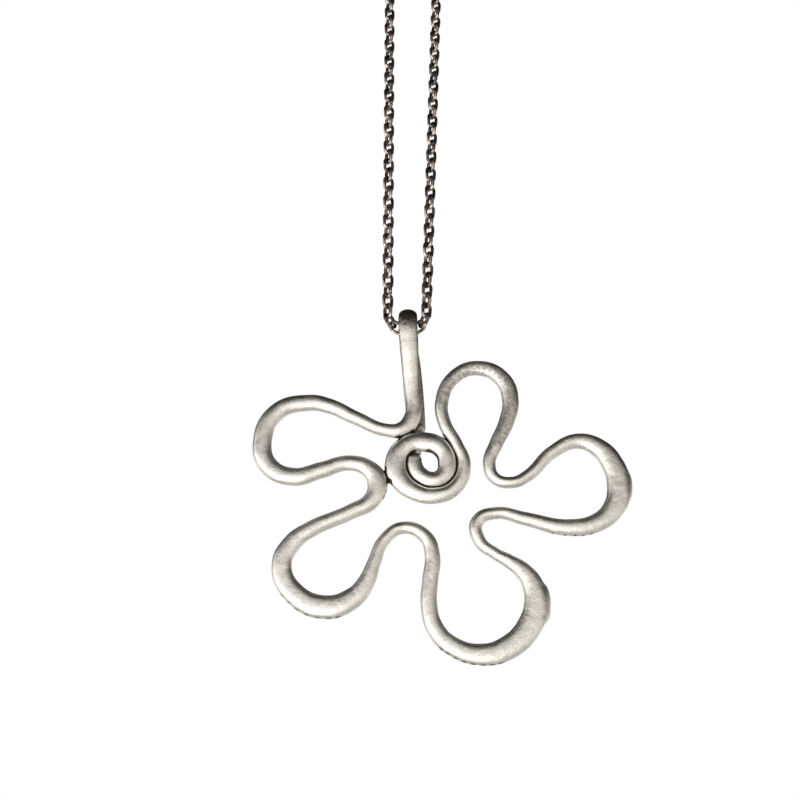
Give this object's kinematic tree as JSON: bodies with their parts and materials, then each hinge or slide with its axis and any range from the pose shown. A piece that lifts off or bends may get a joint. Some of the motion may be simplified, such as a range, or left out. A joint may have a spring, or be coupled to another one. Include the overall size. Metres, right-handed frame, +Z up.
{
  "type": "flower pendant on a chain necklace",
  "caption": "Open flower pendant bent from one tapered silver wire with a spiral hub and a folded bail, hanging on a fine cable chain loop with a plain clasp.",
  "frame": {"origin": "inside of the top of the chain loop, where it hangs", "axes": "+Z up, +X to the right as the flower is seen from the front, the flower faces -Y"},
  "size_m": [0.0548, 0.0055, 0.2709],
  "materials": {
    "satin_silver": "hammered and satin brushed silver, darkened in its seams",
    "oxidised_silver": "dark oxidised silver, worn bright on its high spots"
  },
  "bodies": {
    "necklace": {"chain_left": "oxidised_silver", "chain_right": "oxidised_silver", "clasp": "oxidised_silver", "clasp_ring": "oxidised_silver"},
    "pendant": {"flower_wire": "satin_silver"}
  },
  "joints": [
    {"name": "pendant_swing", "type": "hinge", "parent": "necklace", "child": "pendant", "pos_m": [0.00013, 0, -0.21818], "axis": [1, 0, 0], "range_deg": [-90, 90]}
  ]
}
